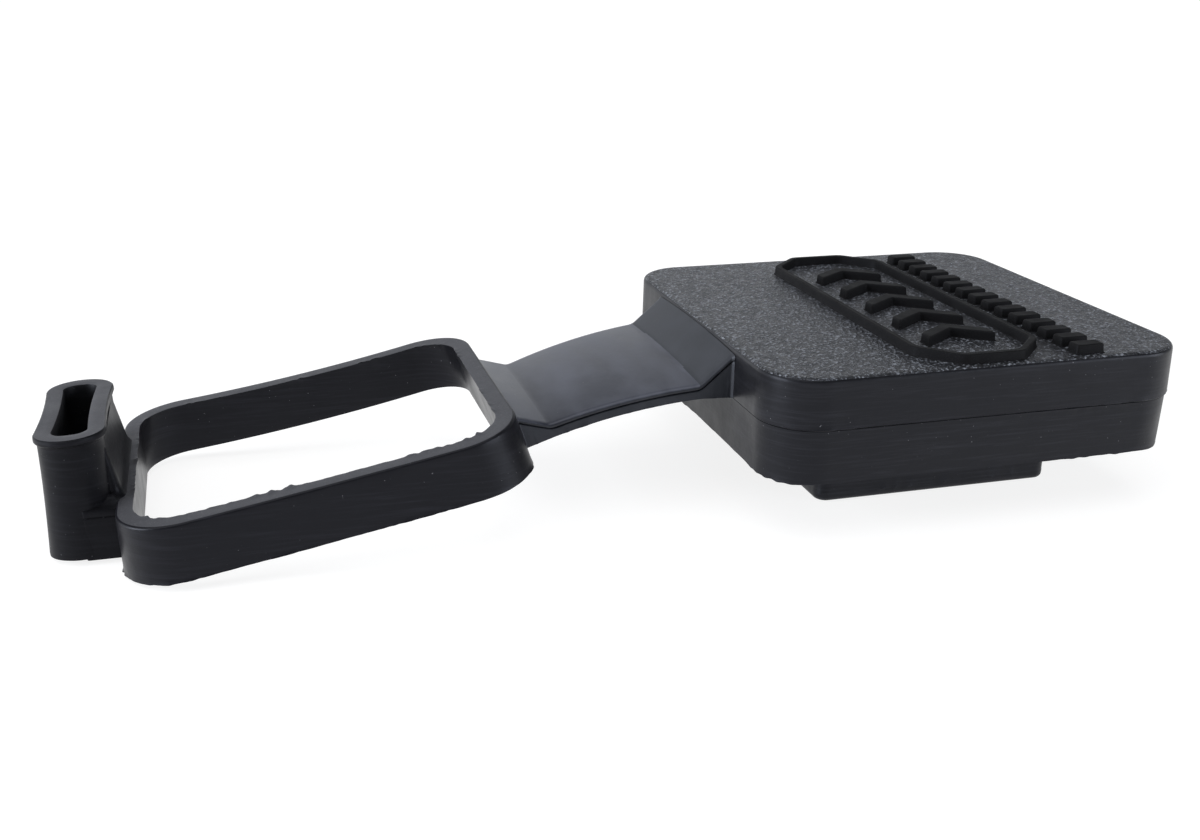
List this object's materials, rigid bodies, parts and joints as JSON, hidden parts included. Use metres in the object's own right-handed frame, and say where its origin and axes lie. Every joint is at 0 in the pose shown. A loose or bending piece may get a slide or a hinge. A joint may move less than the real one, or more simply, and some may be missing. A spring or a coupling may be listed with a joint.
{
  "type": "hitch receiver cover",
  "caption": "Moulded rubber cover that plugs a square hitch receiver tube, with a bending strap, a ring that stays on the tube and a pocket for a flat trailer connector.",
  "frame": {"origin": "centre of the square plug's end face, which is also the surface the cover lies on", "axes": "+Z from the plug's end towards the cap's face, -X from the cap along the strap to the ring and holder, Y across the strap"},
  "size_m": [0.2059, 0.084, 0.0327],
  "materials": {
    "face_rubber": "matt pebble grain",
    "side_rubber": "satin with faint tool lines",
    "trim_rubber": "satin",
    "strap_rubber": "smooth satin",
    "ring_rubber": "satin walls with a matt top",
    "holder_rubber": "satin walls with a matt lip"
  },
  "bodies": {
    "cap": {"face_plate": "face_rubber", "rim_skirt": "side_rubber", "receiver_plug": "side_rubber", "plug_web": "side_rubber", "badge_border": "trim_rubber", "badge_chevron_1": "trim_rubber", "badge_chevron_2": "trim_rubber", "badge_chevron_3": "trim_rubber", "badge_chevron_4": "trim_rubber", "badge_chevron_5": "trim_rubber", "trim_bar_1": "trim_rubber", "trim_bar_2": "trim_rubber", "trim_bar_3": "trim_rubber", "trim_bar_4": "trim_rubber", "trim_bar_5": "trim_rubber", "trim_bar_6": "trim_rubber", "trim_bar_7": "trim_rubber", "trim_bar_8": "trim_rubber", "trim_bar_9": "trim_rubber", "trim_bar_10": "trim_rubber", "trim_bar_11": "trim_rubber", "trim_bar_12": "trim_rubber", "trim_bar_13": "trim_rubber", "trim_bar_14": "trim_rubber", "trim_bar_15": "trim_rubber", "strap_cap_wedge": "strap_rubber"},
    "strap_1": {"strap_inner": "strap_rubber"},
    "strap_2": {"strap_outer": "strap_rubber"},
    "tether": {"strap_ring_wedge": "strap_rubber", "tether_ring": "ring_rubber", "connector_holder": "holder_rubber", "holder_web_near": "holder_rubber", "holder_web_far": "holder_rubber", "holder_ramp": "holder_rubber"}
  },
  "joints": [
    {"name": "strap_bend_1", "type": "hinge", "parent": "cap", "child": "strap_1", "pos_m": [-0.0523, 0, 0.02297], "axis": [0, -1, 0], "range_deg": [-16, 53], "stiffness_Nm_per_rad": 0.15},
    {"name": "strap_bend_2", "type": "hinge", "parent": "strap_1", "child": "strap_2", "pos_m": [-0.06299, 0, 0.02109], "axis": [0, -1, 0], "range_deg": [-16, 53], "stiffness_Nm_per_rad": 0.15},
    {"name": "strap_bend_3", "type": "hinge", "parent": "strap_2", "child": "tether", "pos_m": [-0.07345, 0, 0.01818], "axis": [0, -1, 0], "range_deg": [-16, 53], "stiffness_Nm_per_rad": 0.15}
  ],
  "couplings": [
    {"joint": "strap_bend_2", "follows": "strap_bend_1", "ratio": 1},
    {"joint": "strap_bend_3", "follows": "strap_bend_1", "ratio": 1}
  ]
}
